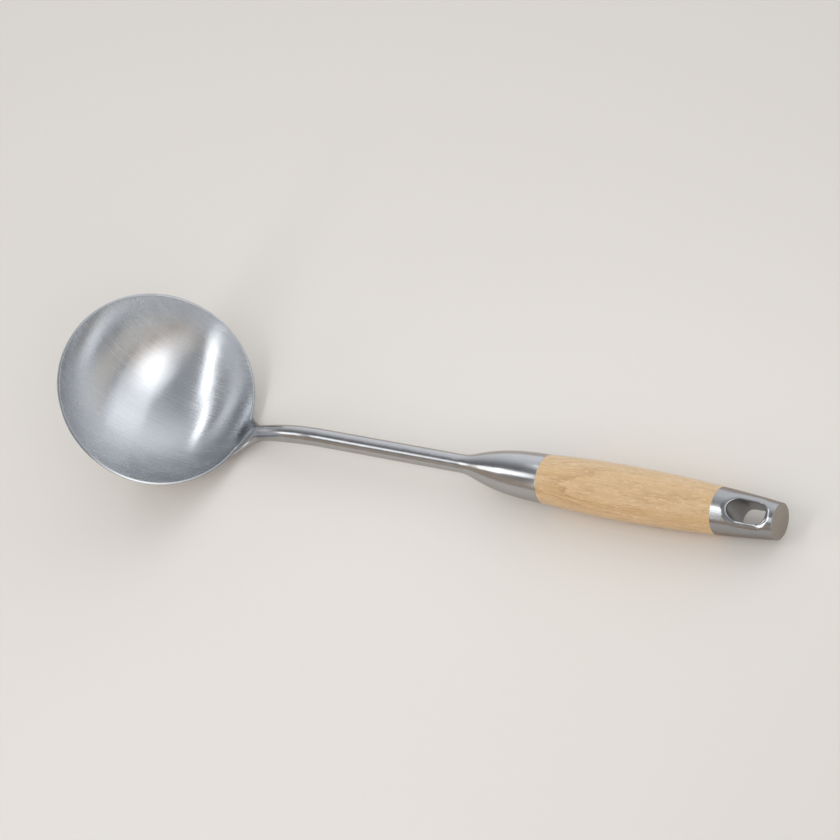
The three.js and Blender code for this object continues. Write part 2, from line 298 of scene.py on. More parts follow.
@dataclass(frozen=True)
class SteelFinish:
    """Stainless steel with fine lines of brushing, over soft clouds of lighter and darker metal.

    It may have waves, and a few odd scratches that cross the brushing.
    """

    name: str
    colour: Colour
    roughness: float
    line_width: float
    line_length: float
    line_depth: float
    anisotropy: float = 0.0
    line_contrast: float = 0.06
    line_roughness: float = 0.08
    line_span: Pair = (0.25, 0.75)
    broad_width: float = 3.1
    broad_length: float = 1.7
    broad_turn: float = 0.06
    cloud_size: float = 9 * MM
    cloud_contrast: float = 0.05
    cloud_roughness: float = 0.02
    cloud_span: Pair = (0.35, 0.7)
    wear_span: Pair = (0.3, 0.7)
    wave_depth: float = 0.0
    scratch_depth: float = 0.0
    scratch_sizes: Triple = (14 * MM, 0.45 * MM, 14 * MM)
    scratch_span: Pair = (0.70, 0.76)
    scratch_turns: Pair = (0.9, -0.5)
    scratch_shifts: Pair = (3.0, 11.0)
    # Tint of reflections at grazing angles. A warm tint is a painted reflection: it browns and darkens the
    # undersides as a brown surface below them would.
    edge: Colour = (1.0, 1.0, 1.0)

    def material(self) -> bpy.types.Material:
        """Makes the material.

        Returns:
            The material, for a mesh that has a brush layer.
        """
        material = bpy.data.materials.new(self.name)
        nodes = Nodes(material)
        brush = nodes.add("UVMap", uv_map=BRUSH_LAYER).outputs[0]
        body = nodes.add("TexCoord").outputs["Object"]
        wide, long = self.line_width, self.line_length
        fine = nodes.noise(brush, (wide, long, 1), detail=2, rough=0.6)
        broad_sizes = (self.broad_width * wide, self.broad_length * long, 1)
        broad = nodes.noise(brush, broad_sizes, detail=3, rough=0.6, turn=self.broad_turn, shift=7)
        cloud = nodes.noise(body, (self.cloud_size,) * 3, detail=3, rough=0.5)

        halves = (nodes.between(pattern, self.line_span, (0, 0.5)) for pattern in (fine, broad))
        lines = nodes.maths("ADD", *halves)
        tones = (shaded(self.colour, 1 + sign * self.line_contrast) for sign in (-1, 1))
        dark = opaque((1 - self.cloud_contrast,) * 3)
        clouds = nodes.blend(nodes.between(cloud, self.cloud_span), dark, opaque((1, 1, 1)))
        half = self.line_roughness / 2
        lined_roughness = nodes.between(lines, (0, 1), (self.roughness - half, self.roughness + half))
        worn = nodes.between(cloud, self.wear_span, (-self.cloud_roughness, self.cloud_roughness))
        normal = nodes.bump(lines, self.line_depth)
        if self.wave_depth > 0:
            normal = nodes.bump(cloud, self.wave_depth, Normal=normal)
        if self.scratch_depth > 0:
            for turn, shift in zip(self.scratch_turns, self.scratch_shifts):
                scratch = nodes.noise(body, self.scratch_sizes, detail=1, rough=0.4, turn=turn, shift=shift)
                thin = nodes.between(scratch, self.scratch_span)
                normal = nodes.bump(thin, self.scratch_depth, Normal=normal)
        nodes.feed(nodes.shader, {
            "Metallic": 1.0,
            "Anisotropic": self.anisotropy,
            "Specular Tint": opaque(self.edge),
            "Base Color": nodes.blend(1.0, nodes.blend(lines, *tones), clouds, way="MULTIPLY"),
            "Roughness": nodes.maths("ADD", lined_roughness, worn),
            "Normal": normal,
            "Tangent": nodes.add("Tangent", direction_type="UV_MAP", uv_map=BRUSH_LAYER).outputs[0],
        })
        return material


@dataclass(frozen=True)
class WoodFinish:
    """Pale wood under a thin satin lacquer.

    Growth rings run about a slanting heart, with fine fibres, pores and light flecks. Sizes are along the
    grain, which lies along X, and across it.
    """

    name: str = "pale_wood"
    pale: Colour = (0.66, 0.445, 0.225)
    late: Colour = (0.45, 0.25, 0.095)
    pore: Colour = (0.34, 0.175, 0.062)
    fleck: Colour = (0.80, 0.61, 0.37)
    heart: Triple = (0.02, 0.021, -0.034)
    slant: float = math.radians(-3.5)
    ring_width: float = 2.6 * MM
    ring_rise: Pair = (0.25, 0.86)
    ring_fall: Pair = (0.90, 1.0)
    ring_sway: float = 1.3
    ring_strength: float = 0.85
    sway_sizes: Triple = (30 * MM, 6 * MM, 6 * MM)
    patch_sizes: Triple = (26 * MM, 7 * MM, 7 * MM)
    patch_span: Pair = (0.40, 0.68)
    patch_strengths: Pair = (0.12, 0.6)
    figure_place: Triple = (0.101, -0.007, 0.026)
    figure_sizes: Triple = (17 * MM, 8 * MM, 8 * MM)
    figure_span: Pair = (0.3, 1.3)
    figure_strength: float = 0.75
    fibre_sizes: Triple = (22 * MM, 0.5 * MM, 0.5 * MM)
    fibre_span: Pair = (0.44, 0.80)
    fibre_strength: float = 0.62
    pore_sizes: Triple = (5 * MM, 0.28 * MM, 0.28 * MM)
    pore_span: Pair = (0.64, 0.74)
    pore_strength: float = 0.6
    pore_dip_span: Pair = (0.6, 0.76)
    pore_dip: float = -0.6
    fleck_sizes: Triple = (3.4 * MM, 0.6 * MM, 0.6 * MM)
    fleck_span: Pair = (0.58, 0.70)
    fleck_strength: float = 0.55
    fleck_rise_span: Pair = (0.55, 0.72)
    fleck_rise: float = 0.4
    grain_depth: float = 0.06 * MM
    roughness_span: Pair = (0.3, 0.8)
    roughness: Pair = (0.36, 0.54)
    lacquer: float = 0.6
    lacquer_roughness: float = 0.17

    def rings(self, nodes: Nodes, place: Socket) -> Socket:
        """Growth rings, which the slanting heart lets the grip's belly cut into long arches.

        Args:
            nodes: Nodes of the material.
            place: Places on the ladle.

        Returns:
            Share of dark late wood.
        """
        leaning = nodes.mapped(nodes.seen_from(place, self.heart), Rotation=(0, self.slant, 0))
        radius = nodes.length(nodes.mapped(leaning, Scale=(0, 1 / self.ring_width, 1 / self.ring_width)))
        sway = nodes.noise(place, self.sway_sizes, detail=3, rough=0.6)
        swayed = nodes.maths("ADD", radius, nodes.between(sway, (0, 1), (-self.ring_sway, self.ring_sway)))
        year = nodes.maths("FRACT", swayed)
        fall = nodes.between(year, self.ring_fall, (1, 0))
        return nodes.maths("MULTIPLY", nodes.between(year, self.ring_rise), fall)

    def material(self) -> bpy.types.Material:
        """Makes the material.

        Returns:
            The material, for a mesh at its place on the ladle.
        """
        material = bpy.data.materials.new(self.name)
        nodes = Nodes(material)
        place = nodes.add("TexCoord").outputs["Object"]
        fibre = nodes.noise(place, self.fibre_sizes, detail=4, rough=0.65, shift=2)
        pore = nodes.noise(place, self.pore_sizes, detail=1, rough=0.5, shift=9)
        fleck = nodes.noise(place, self.fleck_sizes, detail=2, rough=0.5, shift=5)
        patch = nodes.noise(place, self.patch_sizes, detail=2, rough=0.5, shift=3)

        centred = nodes.seen_from(place, self.figure_place)
        distance = nodes.length(nodes.stretched(centred, self.figure_sizes))
        figure = nodes.between(distance, self.figure_span, (self.figure_strength, 0))
        strength = nodes.maths("ADD", nodes.between(patch, self.patch_span, self.patch_strengths), figure)
        late = nodes.maths("MULTIPLY", self.rings(nodes, place), strength)
        colour = opaque(self.pale)
        for pattern, span, share, second in (
            (late, (0, 1), self.ring_strength, self.late),
            (fibre, self.fibre_span, self.fibre_strength, self.late),
            (pore, self.pore_span, self.pore_strength, self.pore),
            (fleck, self.fleck_span, self.fleck_strength, self.fleck),
        ):
            colour = nodes.blend(nodes.between(pattern, span, (0, share)), colour, opaque(second))
        dips = nodes.between(pore, self.pore_dip_span, (0, self.pore_dip))
        rises = nodes.between(fleck, self.fleck_rise_span, (0, self.fleck_rise))
        grained = nodes.bump(nodes.maths("ADD", nodes.maths("ADD", fibre, dips), rises), self.grain_depth)
        nodes.feed(nodes.shader, {
            "Base Color": colour,
            "Roughness": nodes.between(fibre, self.roughness_span, self.roughness),
            "Coat Weight": self.lacquer,
            "Coat Roughness": self.lacquer_roughness,
            "Normal": grained,
            "Coat Normal": grained,
        })
        return material


BOWL_BRUSHED = SteelFinish(
    "bowl_brushed", (0.58, 0.595, 0.615), roughness=0.26, anisotropy=0.85, line_width=0.4 * MM,
    line_length=45 * MM, line_depth=0.006 * MM, line_contrast=0.09, scratch_depth=0.0006 * MM)
# The lip's darker steel is painted shade: it dims the highlights along the lip.
LIP_PAINTED_SHADE = SteelFinish(
    "lip_painted_shade", (0.42, 0.43, 0.445), roughness=0.2, line_width=0.4 * MM, line_length=2 * MM,
    line_depth=0.004 * MM)
# The warm grazing tint (edge) of the stem and ferrule is a painted reflection that browns their undersides.
STEM_POLISHED = SteelFinish(
    "stem_polished", (0.455, 0.458, 0.465), roughness=0.17, anisotropy=0.1, line_width=0.7 * MM,
    line_length=5 * MM, line_depth=0.004 * MM, line_contrast=0.03, line_roughness=0.04,
    wave_depth=0.08 * MM, edge=(0.88, 0.82, 0.77))
WELD_GROUND = SteelFinish(
    "weld_ground", (0.44, 0.442, 0.45), roughness=0.22, line_width=0.8 * MM, line_length=1.4 * MM,
    line_depth=0.01 * MM)
# The cap's steel is darker than the stem's: painted shade for its underside. Its browner grazing tint is a
# painted reflection of a brown surface below.
CAP_PAINTED_SHADE = replace(
    STEM_POLISHED, name="cap_painted_shade", colour=(0.36, 0.362, 0.368), roughness=0.18, wave_depth=0.05 * MM,
    edge=(0.74, 0.64, 0.57))
SLOT_WALL = SteelFinish(
    "slot_wall", (0.42, 0.42, 0.425), roughness=0.36, line_width=0.6 * MM, line_length=1.5 * MM,
    line_depth=0.02 * MM)
# The flat end's brownish grey is a painted reflection of a brown surface, not the steel's own colour.
FLAT_END_PAINTED_REFLECTION = SteelFinish(
    "flat_end_painted_reflection", (0.375, 0.335, 0.30), roughness=0.34, anisotropy=0.2, line_width=0.3 * MM,
    line_length=6 * MM, line_depth=0.008 * MM)
ROD_PLAIN = SteelFinish(
    "rod_plain", (0.40, 0.405, 0.41), roughness=0.4, line_width=0.4 * MM, line_length=0.8 * MM,
    line_depth=0.02 * MM)
PALE_WOOD = WoodFinish()


def stand_in(piece: bpy.types.Object, node: str, slot: Slot,
             *finishes: SteelFinish | WoodFinish) -> bpy.types.Object:
    """Dresses a piece and lets it stand for a solid of the frame.

    Args:
        piece: The piece.
        node: Name of the solid.
        slot: Not used.
        finishes: Finishes of the piece, by the numbers that its faces have.

    Returns:
        The piece.
    """
    for finish in finishes:
        piece.data.materials.append(finish.material())
    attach(piece, BODY)
    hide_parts(node)
    return piece


@dataclass
class Bowl:
    """The pressed bowl, with its trimmed lip and the tongue that the lip is drawn up into."""

    diameter: float = 110 * MM
    depth: float = 36 * MM
    wall: float = 1.5 * MM
    lip_trim: float = -0.33 * MM
    lip_rounding: float = 0.3 * MM
    inner_rounding: float = 0.6 * MM
    lip_steps: int = 6
    lip_margin: float = 1.01
    tongue_reach: float = 12.5 * MM
    tongue_tip_width: float = 5 * MM
    tongue_base_width: float = 22 * MM
    tongue_corner: float = 0.12
    tongue_foot: float = 1.7
    tongue_blend: float = 8 * MM
    tongue_lean: float = 2.12 * MM
    tongue_crown: float = 5 * MM
    neck_radius: float = 149 * MM
    segments: int = 360
    crowding: float = 0.72
    outer_rows: int = 60
    outer_crowding: float = 1.5
    outer_clearance: float = 1.2
    inner_rows: int = 96
    inner_crowding: float = 1.35
    brush_near: float = math.radians(3)
    brush_far: float = math.radians(-10)

    @property
    def radius(self) -> float:
        """Radius of the lip, outside."""
        return self.diameter / 2

    @cached_property
    def sphere_radius(self) -> float:
        """Radius of the sphere that the outside follows."""
        return (self.radius**2 + self.depth**2) / (2 * self.depth)

    @property
    def sphere_height(self) -> float:
        """Height of the sphere's middle above the lip."""
        return self.sphere_radius - self.depth

    @property
    def lip_angle(self) -> float:
        """Steepness of the wall at the lip."""
        return math.atan2(self.radius, self.sphere_height)

    def tongue_share(self, sideways: Array) -> Array:
        """Share of the tongue's reach at a distance to the side of the handle.

        Args:
            sideways: Distances along the lip.

        Returns:
            1 at the tip and 0 beyond the tongue, with a rounded corner in between.
        """
        fall = (self.tongue_base_width - self.tongue_tip_width) / 2
        left = np.clip((self.tongue_base_width / 2 - np.abs(sideways)) / fall, 0, None) ** 2
        corner = self.tongue_corner
        eased = (left + 1 - np.sqrt((left - 1) ** 2 + corner)) / 2
        return eased - (1 - math.sqrt(1 + corner)) / 2 * (1 - left / self.tongue_foot)

    def place(self, inset: float, along: float, azimuth: Array) -> Array:
        """Points of the bowl.

        Args:
            inset: Depth below the outside.
            along: Distance above the lip, along the wall, negative below it.
            azimuth: Angles round the bowl, 0 at the handle.

        Returns:
            The points, one a row.
        """
        sideways = azimuth * self.radius
        share = np.clip(self.tongue_share(sideways), 0, 1)
        drawn = along + self.tongue_reach * share * smoothstep(along, -self.tongue_blend, 0)
        straight = np.maximum(0, drawn)
        bend = np.maximum(0, drawn + self.tongue_blend) / (self.tongue_reach + self.tongue_blend)
        lean = (self.tongue_lean + self.tongue_reach**2 / (2 * self.neck_radius)) * smoothstep(bend, 0, 1)
        crown = bend**3 * sideways**2 / (2 * self.tongue_crown)
        depth = inset + share * (lean - crown - straight**2 / (2 * self.neck_radius))
        steepness = self.lip_angle + np.minimum(0, drawn) / self.sphere_radius
        reach = self.sphere_radius - depth
        outward = reach * np.sin(steepness) + straight * np.cos(steepness)
        height = self.sphere_height - reach * np.cos(steepness) + straight * np.sin(steepness)
        return np.stack([outward * np.cos(azimuth), outward * np.sin(azimuth), height], axis=-1)

    def profile(self) -> list[Pair]:
        """Section of the wall, from below the bowl over the lip to the bottom inside.

        Returns:
            Depth below the outside and distance above the lip, for each row of points.
        """
        bottom, trim = -self.sphere_radius * self.lip_angle, self.lip_trim
        shares = [1 - step / self.outer_rows for step in range(1, self.outer_rows)]
        outer = [(0.0, bottom * share**self.outer_crowding) for share in shares]
        clear = trim - self.lip_rounding * self.outer_clearance
        corners = [(0.0, bottom), (0.0, trim), (self.wall, trim), (self.wall, bottom)]
        lip = rounded(corners, [self.lip_rounding, self.inner_rounding], self.lip_steps)[1:-1]
        shares = [(step / self.inner_rows) ** self.inner_crowding for step in range(1, self.inner_rows)]
        inner = [(self.wall, mix(trim - self.inner_rounding, bottom, share)) for share in shares]
        return [point for point in outer if point[1] < clear] + lip + inner

    def brushed(self, points: Array) -> Array:
        """Places of points across and along the brushing, which runs towards the handle and fans a little."""
        slope = mix(self.brush_near, self.brush_far, (points[:, 1] / self.radius + 1) / 2)
        return np.stack([points[:, 1] - points[:, 0] * np.tan(slope), points[:, 0]], axis=-1)

    def build(self) -> Skin:
        """Makes the bowl.

        Returns:
            The mesh. Finish 1 is the lip, in a darker steel that paints shade on it.
        """
        plain = np.linspace(-math.pi, math.pi, self.segments, endpoint=False)
        azimuth = plain - self.crowding * np.sin(plain)
        skin = Skin()
        rings, on_lip = [], []
        for inset, along in self.profile():
            points = self.place(inset, along, azimuth)
            rings.append(skin.ring(points, self.brushed(points)))
            on_lip.append(along > self.lip_trim - self.lip_margin * self.inner_rounding)
        for place in range(len(rings) - 1):
            skin.bands(rings[place:place + 2], finish=int(on_lip[place] and on_lip[place + 1]))
        for ring, inset in ((rings[0], 0.0), (rings[-1], self.wall)):
            lowest = np.array([0, 0, -self.depth + inset])
            skin.tip(ring, lowest, lowest[:2])
        return skin

    def dress(self, rest: "Rest") -> list[bpy.types.Object]:
        """Builds and dresses the bowl, as it lies at rest, and returns it in a list."""
        shell = self.build().piece("bowl_shell", rest)
        return [stand_in(shell, "bowl", Slot.BOWL, BOWL_BRUSHED, LIP_PAINTED_SHADE)]


@dataclass
class Stem:
    """The bent round bar with its flared root, and the weld bead round the root's toe."""

    bowl: Bowl
    diameter: float = 9.8 * MM
    root_diameter: float = 8.5 * MM
    taper_length: float = 42 * MM
    length: float = 150 * MM
    handle_angle: float = math.radians(42.6)
    spread_near: float = 14.5 * MM
    spread_far: float = 10.5 * MM
    flare_length: float = 16 * MM
    toe_length: float = 9 * MM
    root_thickness: float = 2.6 * MM
    toe_thickness: float = 1.2 * MM
    flank_height: float = 1 * MM
    blunt_angle: float = math.radians(12)
    tail_diameter: float = 7.8 * MM
    tail_length: float = 20 * MM
    segments: int = 96
    toe_rows: int = 18
    flare_rows: int = 44
    bend_rows: int = 48
    straight_rows: int = 40
    bead_radius: float = 1.1 * MM
    bead_end: float = math.radians(72)
    bead_flatness: float = 0.8
    bead_ripples: int = 22
    ripple_depth: float = 0.1
    ripple_rows: int = 8
    bead_end_power: int = 8
    bead_end_fill: float = 1.02
    bead_segments: int = 20

    @cached_property
    def arc_length(self) -> float:
        """Length of the bent stretch."""
        return self.bowl.neck_radius * (self.bowl.lip_angle - self.handle_angle)

    def centre_line(self, along: float) -> Triple:
        """Where the middle of the stem runs.

        Args:
            along: Distance from the lip, negative below it.

        Returns:
            Place outward and upward, and the slope.
        """
        bowl = self.bowl
        if along < 0:
            angle = bowl.lip_angle + along / bowl.sphere_radius
            reach = bowl.sphere_radius
            return reach * math.sin(angle), bowl.sphere_height - reach * math.cos(angle), angle
        angle = bowl.lip_angle - min(along, self.arc_length) / bowl.neck_radius
        straight = max(0.0, along - self.arc_length)
        outward = bowl.radius + bowl.neck_radius * (math.sin(bowl.lip_angle) - math.sin(angle))
        upward = bowl.neck_radius * (math.cos(angle) - math.cos(bowl.lip_angle))
        return outward + straight * math.cos(angle), upward + straight * math.sin(angle), angle

    def ring_points(self, along: float) -> Array:
        """Points round the bar at a place.

        Args:
            along: Distance from the lip.

        Returns:
            The points, one a row.
        """
        turn = full_turn(self.segments)
        inward, side = np.cos(turn), np.sin(turn)
        spread = np.where(side > 0, self.spread_far, self.spread_near)
        if along < 0:
            share = min(1.0, -along / self.toe_length)
            sideways = side * (spread * math.sqrt(1 - share**2))
            outside, inside = mix(self.root_thickness, self.toe_thickness, share), self.flank_height
        else:
            reach = self.bowl.tongue_reach
            thinned = float(smoothstep(along, reach, self.taper_length))
            bar = mix(self.root_diameter, self.diameter, thinned) / 2
            flare = max(0.0, 1 - along / self.flare_length) ** 2
            sideways = side * mix(bar, spread, flare)
            outside = mix(bar, self.root_thickness, flare)
            inside = mix(self.flank_height, bar, float(smoothstep(along, 0, reach)))
        lift = inward * np.where(inward > 0, inside, outside)
        wrap = 1 - float(smoothstep(along, 0, self.flare_length))
        back = wrap * (self.bowl.radius - np.sqrt(self.bowl.radius**2 - sideways**2))
        x, z, angle = self.centre_line(along)
        return np.stack([x - lift * math.sin(angle) - back, sideways, z + lift * math.cos(angle)], axis=-1)

    def stations(self) -> Array:
        """Places along the stem that have a ring of points.

        Returns:
            Distances from the lip, from the toe to the end.
        """
        toe = -self.toe_length * np.cos(np.linspace(self.blunt_angle, math.pi / 2, self.toe_rows))
        stops = (0, self.flare_length, self.arc_length, self.length)
        rows = (self.flare_rows, self.bend_rows, self.straight_rows)
        runs = [np.linspace(start, end, count)[1:] for start, end, count in zip(stops, stops[1:], rows)]
        return np.concatenate([toe, *runs])

    def build(self) -> Skin:
        """Makes the bar, with the tail that goes into the ferrule.

        Returns:
            The mesh.
        """
        skin = Skin()
        across = full_turn(self.segments) * self.diameter / 2
        stations = self.stations()
        rings = [skin.ring(self.ring_points(along), lined_up(across, along)) for along in stations]
        end = self.ring_points(self.length)
        middle = end.mean(axis=0)
        _, _, angle = self.centre_line(self.length)
        reach = np.array([math.cos(angle), 0, math.sin(angle)]) * self.tail_length
        tail = middle + (end - middle) * self.tail_diameter / self.diameter
        rings += [skin.ring(points) for points in (tail, tail + reach)]
        skin.bands(rings)
        skin.tip(rings[0], self.ring_points(stations[0]).mean(axis=0))
        skin.tip(rings[-1], middle + reach)
        return skin

    def build_bead(self) -> Skin:
        """Makes the rippled weld bead round the toe of the root.

        Returns:
            The mesh.
        """
        bowl = self.bowl
        turns = np.linspace(-self.bead_end, self.bead_end, self.ripple_rows * self.bead_ripples + 1)
        steep = bowl.lip_angle - self.toe_length * np.cos(turns) / bowl.sphere_radius
        sideways = np.where(turns > 0, self.spread_far, self.spread_near) * np.sin(turns)
        outward = bowl.sphere_radius * np.sin(steep)
        azimuth = np.arcsin(sideways / outward)
        height = bowl.sphere_height - bowl.sphere_radius * np.cos(steep)
        path = np.stack([outward * np.cos(azimuth), sideways, height], axis=-1)
        away = unit_rows(path - np.array([0, 0, bowl.sphere_height]))
        across = unit_rows(np.cross(np.gradient(path, axis=0), away))
        ripple = np.abs(np.sin(np.linspace(0, self.bead_ripples * math.pi, len(turns))))
        ends = np.sqrt(np.clip(self.bead_end_fill - (turns / self.bead_end) ** self.bead_end_power, 0, 1))
        radius = self.bead_radius * (1 - self.ripple_depth + self.ripple_depth * ripple) * ends
        turn = full_turn(self.bead_segments)
        skin = Skin()
        rings = []
        for place, (point, size) in enumerate(zip(path, radius)):
            flat, upright = np.outer(np.cos(turn), across[place]), np.outer(np.sin(turn), away[place])
            brush = lined_up(turn * size, turns[place] * self.toe_length)
            rings.append(skin.ring(point + size * (flat + self.bead_flatness * upright), brush))
        skin.bands(rings)
        for end in (0, -1):
            skin.tip(rings[end], path[end])
        return skin

    def dress(self, rest: "Rest") -> list[bpy.types.Object]:
        """Builds and dresses the stem and its bead.

        Args:
            rest: How the ladle lies.

        Returns:
            The two pieces.
        """
        bar, bead = self.build().piece("stem_bar", rest), self.build_bead().piece("bowl_weld_bead", rest)
        return [
            stand_in(bar, "stem", Slot.STEM, STEM_POLISHED),
            stand_in(bead, "bowl_weld", Slot.WELD, WELD_GROUND),
        ]


@dataclass
class Handle:
    """Ferrule, grip, end cap and rod, about one axis that starts at the end of the stem."""

    stem: Stem
    ferrule_length: float = 52 * MM
    ferrule_wall: float = 1.2 * MM
    mouth_diameter: float = 25.3 * MM
    neck_sweep: float = 9 * MM
    shoulder_sweep: float = 36 * MM
    weld_length: float = 4 * MM
    grip_length: float = 99.4 * MM
    belly_diameter: float = 28.2 * MM
    belly_place: float = 43 * MM
    tenon_length: float = 12 * MM
    seam_gap: float = 0.3 * MM
    seam_shown: float = 0.06 * MM
    seam_rounding: float = 0.06 * MM
    cap_length: float = 32.6 * MM
    cap_seam_diameter: float = 24 * MM
    cap_end_diameter: float = 18.5 * MM
    cap_crown: float = 0.2 * MM
    boss_diameter: float = 14 * MM
    boss_length: float = 7.5 * MM
    rod_hole_diameter: float = 5.6 * MM
    rod_hole_floor: float = 3 * MM
    slot_length: float = 20.3 * MM
    slot_width: float = 11 * MM
    slot_end_wall: float = 4.4 * MM
    slot_turn: float = math.radians(13)
    slot_rounding: float = 2.8 * MM
    slot_rounding_depth: float = 1.3 * MM
    edge_rounding: float = 0.25 * MM
    segments: int = 160
    bell_steps: int = 400
    weld_rows: int = 24
    ferrule_rows: int = 100
    grip_rows: int = 140
    seam_steps: int = 3
    edge_steps: int = 4
    round_steps: int = 48
    straight_steps: int = 20
    mouth_rows: int = 7
    slot_rows: int = 8
    cap_rows: int = 14
    cap_crowding: float = 1.3
    flat_shares: Triple = (0.75, 0.5, 0.25)

    @property
    def cap_start(self) -> float:
        """Where the end cap begins."""
        return self.ferrule_length + self.grip_length + 2 * self.seam_gap

    @property
    def cap_end(self) -> float:
        """Where the end cap ends."""
        return self.cap_start + self.cap_length

    @property
    def cap_edge(self) -> float:
        """Where the rounding of the cap's end begins."""
        return self.cap_end - self.edge_rounding

    @property
    def slot_middle(self) -> float:
        """Where the middle of the slot is."""
        return self.cap_end - self.slot_end_wall - self.slot_length / 2

    @property
    def seam_guard(self) -> float:
        """Distance from a seam at which its rounding is over."""
        return 3 * self.seam_rounding

    @property
    def half_turn(self) -> Array:
        """Angles of half a turn, for a round end of the slot or half of a ring of the cap."""
        return np.linspace(-math.pi / 2, math.pi / 2, self.round_steps + 1)[:-1]

    @cached_property
    def ferrule_curve(self) -> tuple[Array, Array]:
        """Bell-shaped curve of the ferrule.

        Returns:
            Places along the ferrule, and its outer radii there.
        """
        share = np.linspace(0, 1, self.bell_steps)
        weights = [(1 - share) ** 3, 3 * (1 - share) ** 2 * share, 3 * (1 - share) * share**2, share**3]
        places = (0, self.neck_sweep, self.ferrule_length - self.shoulder_sweep, self.ferrule_length)
        radii = (self.stem.diameter / 2,) * 2 + (self.mouth_diameter / 2,) * 2
        along = sum(weight * place for weight, place in zip(weights, places))
        return along, sum(weight * radius for weight, radius in zip(weights, radii))

    def ferrule_radius(self, along: Values) -> Values:
        """Outer radius of the ferrule at places along the handle."""
        return np.interp(along, *self.ferrule_curve)

    def grip_radius(self, distance: Values) -> Array:
        """Radius of the grip: two arcs that meet at the belly.

        Args:
            distance: Distances from the ferrule.

        Returns:
            The radii.
        """
        before = distance < self.belly_place
        end = np.where(before, self.mouth_diameter, self.cap_seam_diameter) / 2
        run = np.where(before, self.belly_place, self.grip_length - self.belly_place)
        belly = self.belly_diameter / 2
        return belly - (belly - end) * ((distance - self.belly_place) / run) ** 2

    def cap_radius(self, along: Values) -> Values:
        """Outer radius of the end cap, a cone with a slight crown.

        Args:
            along: Places along the handle.

        Returns:
            The radii.
        """
        share = (np.asarray(along) - self.cap_start) / self.cap_length
        straight = mix(self.cap_seam_diameter, self.cap_end_diameter, share) / 2
        return straight + 4 * self.cap_crown * share * (1 - share)

    def to_rim(self, points: Array) -> Array:
        """Puts points of the handle on its axis.

        Args:
            points: Points with X along the handle from the end of the stem.

        Returns:
            The points in the frame of the bowl's lip.
        """
        x, z, angle = self.stem.centre_line(self.stem.length)
        cos, sin = math.cos(angle), math.sin(angle)
        along, height = points[:, 0], points[:, 2]
        outward, upward = x + along * cos - height * sin, z + along * sin + height * cos
        return np.stack([outward, points[:, 1], upward], axis=-1)

    def on_axis(self, along: float) -> Array:
        """Point on the handle's axis, in the frame of the bowl's lip."""
        return self.to_rim(np.array([[along, 0, 0]]))[0]

    def turned(self, profile: list[Pair]) -> Skin:
        """Makes a hollow piece of revolution.

        Args:
            profile: Places along and radii of its closed section.

        Returns:
            The mesh.
        """
        turn = full_turn(self.segments)
        across = turn * self.mouth_diameter / 2
        skin = Skin()
        rings = []
        for along, radius in profile:
            reach = np.stack([radius * np.sin(turn), radius * np.cos(turn)], axis=-1)
            points = np.insert(reach, 0, along, axis=-1)
            rings.append(skin.ring(self.to_rim(points), lined_up(across, along)))
        skin.bands(rings + rings[:1])
        return skin

    def build_weld(self) -> Skin:
        """Makes the weld between stem and ferrule, ground flush.

        Returns:
            The mesh.
        """
        bore = self.stem.tail_diameter / 2
        along = np.linspace(0, self.weld_length, self.weld_rows)
        return self.turned([(0, bore), *zip(along, self.ferrule_radius(along)), (self.weld_length, bore)])

    def build_ferrule(self) -> Skin:
        """Makes the bell-shaped shell.

        Returns:
            The mesh.
        """
        end, mouth = self.ferrule_length, self.mouth_diameter / 2
        along = np.linspace(self.weld_length, end, self.ferrule_rows)
        radius = self.ferrule_radius(along)
        outer = list(zip(along, radius))[:-1]
        inner = list(zip(along, np.maximum(self.stem.tail_diameter / 2, radius - self.ferrule_wall)))
        corners = [(end - self.seam_guard, mouth), (end, mouth), inner[-1]]
        lip = rounded(corners, [self.seam_rounding], self.seam_steps)
        return self.turned(outer + lip + inner[-2::-1])

    def build_grip(self) -> Skin:
        """Makes the wood grip, with its tenon, its bore and the seat of the cap's boss.

        Returns:
            The mesh.
        """
        start, end = self.ferrule_length + self.seam_shown, self.cap_start - self.seam_shown
        distance = np.linspace(0, self.grip_length, self.grip_rows)
        outer = list(zip(np.linspace(start, end, self.grip_rows), self.grip_radius(distance)))
        tenon_start, seat_start = self.ferrule_length - self.tenon_length, end - self.boss_length
        tenon = float(self.ferrule_radius(tenon_start)) - self.ferrule_wall
        bore, seat = self.rod_hole_diameter / 2, self.boss_diameter / 2
        first, last = (
            rounded(corners, [self.seam_rounding], self.seam_steps)
            for corners in (
                [(start, tenon), outer[0], (start + self.seam_guard, outer[0][1])],
                [(end - self.seam_guard, outer[-1][1]), outer[-1], (end, seat)],
            )
        )
        inside = [(seat_start, seat), (seat_start, bore), (tenon_start, bore), (tenon_start, tenon)]
        return self.turned(first + outer[1:-1] + last + inside)

    def cap_points(self, along: Array, angle: Array, side: int,
                   radius: float | None = None) -> Array:
        """Points on the end cap.

        Args:
            along: Places along the handle.
            angle: Angles from the middle of the slot, at the side that is meant.
            side: 1 for the upper mouth of the slot, -1 for the lower one.
            radius: Distance from the axis, or nothing for the cap's own surface.

        Returns:
            The points, with X along the handle.
        """
        reach = self.cap_radius(along) if radius is None else radius
        wide, high = reach * np.sin(angle), side * reach * np.cos(angle)
        cos, sin = math.cos(self.slot_turn), math.sin(self.slot_turn)
        return np.stack([along, wide * cos - high * sin, wide * sin + high * cos], axis=-1)

    def cap_ring(self, skin: Skin, points: Array) -> Array:
        """Adds a ring of the cap to its mesh, with brushing round the axis, and gives the points' numbers."""
        around = np.arctan2(points[:, 2], points[:, 1]) * self.cap_end_diameter / 2
        return skin.ring(self.to_rim(points), np.stack([around, points[:, 0]], axis=-1))

